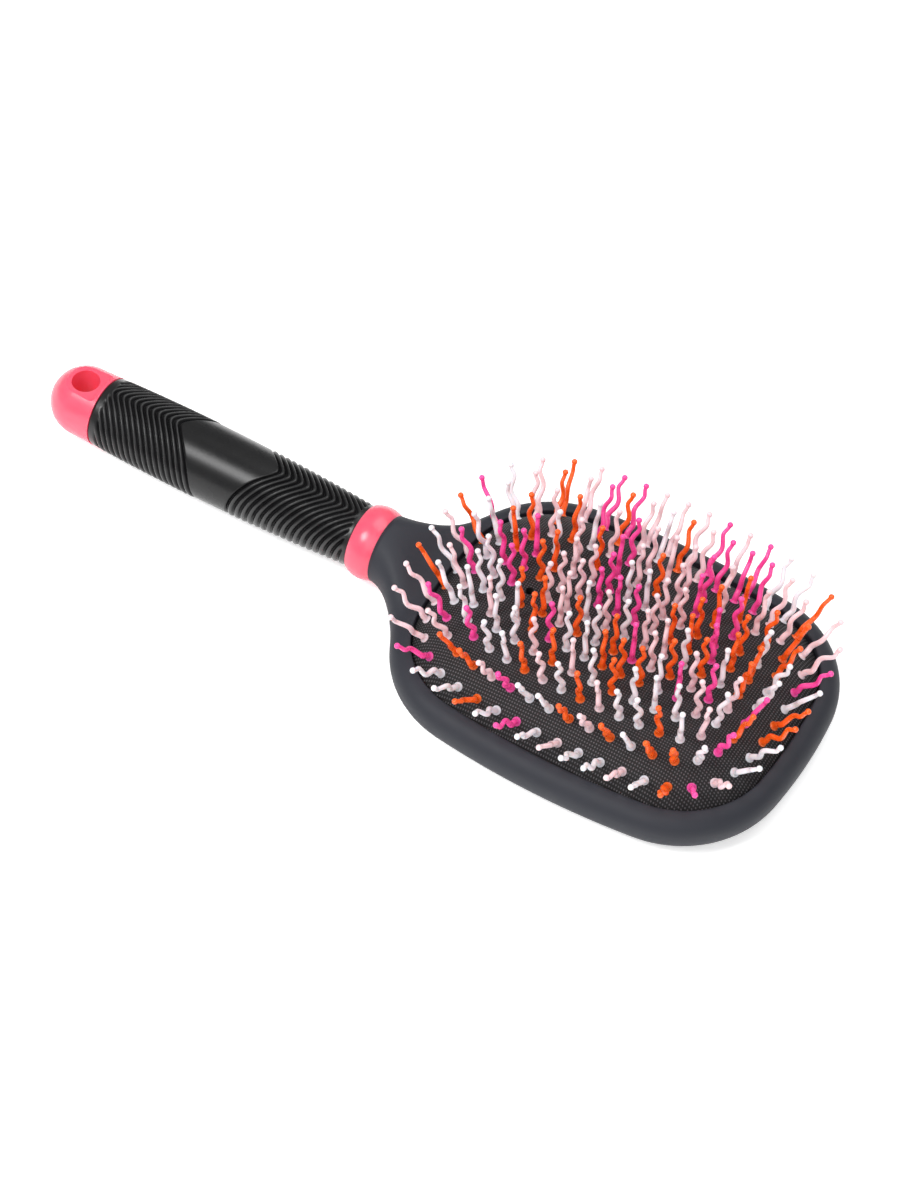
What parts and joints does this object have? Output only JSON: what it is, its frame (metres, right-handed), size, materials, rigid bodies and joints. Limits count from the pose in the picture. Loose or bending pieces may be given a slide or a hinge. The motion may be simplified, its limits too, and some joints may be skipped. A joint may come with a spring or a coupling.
{
  "type": "detangling paddle brush",
  "caption": "Cushion paddle hairbrush with wavy ball-tipped pins in four colours, soft-touch head, ribbed rubber grip with bright collar and end cap, and a hanging hole.",
  "frame": {"origin": "middle of the brush's box, on the surface it lies on", "axes": "+X from the hanging end of the handle to the paddle tip, +Z the way the pins stand, Y across the paddle"},
  "size_m": [0.249, 0.0974, 0.0403],
  "materials": {
    "soft_touch_shell": "soft-touch coat",
    "coral_trim": "satin gloss",
    "grip_rubber": "ribbed satin",
    "pad_rubber": "fine woven face",
    "white_pin": "gloss",
    "rose_pin": "gloss",
    "pink_pin": "gloss",
    "orange_pin": "gloss"
  },
  "bodies": {
    "brush": {"paddle_body": "soft_touch_shell", "collar_ring": "coral_trim", "grip_sleeve": "grip_rubber", "end_cap": "coral_trim", "cushion_pad": "pad_rubber"},
    "middle_pins": {"white_pins_ring_4": "white_pin", "rose_pins_ring_4": "rose_pin", "pink_pins_ring_4": "pink_pin", "orange_pins_ring_4": "orange_pin", "white_pins_ring_5": "white_pin", "rose_pins_ring_5": "rose_pin", "pink_pins_ring_5": "pink_pin", "orange_pins_ring_5": "orange_pin", "white_pins_ring_6": "white_pin", "rose_pins_ring_6": "rose_pin", "pink_pins_ring_6": "pink_pin", "orange_pins_ring_6": "orange_pin", "white_pins_ring_7": "white_pin", "rose_pins_ring_7": "rose_pin"},
    "first_ring_pins": {"white_pins_ring_1": "white_pin", "rose_pins_ring_1": "rose_pin", "pink_pins_ring_1": "pink_pin", "orange_pins_ring_1": "orange_pin"},
    "second_ring_pins": {"white_pins_ring_2": "white_pin", "rose_pins_ring_2": "rose_pin", "pink_pins_ring_2": "pink_pin", "orange_pins_ring_2": "orange_pin"},
    "third_ring_pins": {"white_pins_ring_3": "white_pin", "rose_pins_ring_3": "rose_pin", "pink_pins_ring_3": "pink_pin", "orange_pins_ring_3": "orange_pin"}
  },
  "joints": [
    {"name": "cushion_press", "type": "slide", "parent": "brush", "child": "middle_pins", "axis": [0, 0, -1], "range_m": [0, 0.005], "stiffness_N_per_m": 2000, "deforming": ["cushion_pad"]},
    {"name": "first_ring_sink", "type": "slide", "parent": "brush", "child": "first_ring_pins", "axis": [0, 0, -1], "range_m": [0, 0.0028]},
    {"name": "second_ring_sink", "type": "slide", "parent": "brush", "child": "second_ring_pins", "axis": [0, 0, -1], "range_m": [0, 0.0041]},
    {"name": "third_ring_sink", "type": "slide", "parent": "brush", "child": "third_ring_pins", "axis": [0, 0, -1], "range_m": [0, 0.0047]}
  ],
  "couplings": [
    {"joint": "first_ring_sink", "follows": "cushion_press", "ratio": 0.54},
    {"joint": "second_ring_sink", "follows": "cushion_press", "ratio": 0.8},
    {"joint": "third_ring_sink", "follows": "cushion_press", "ratio": 0.92}
  ]
}
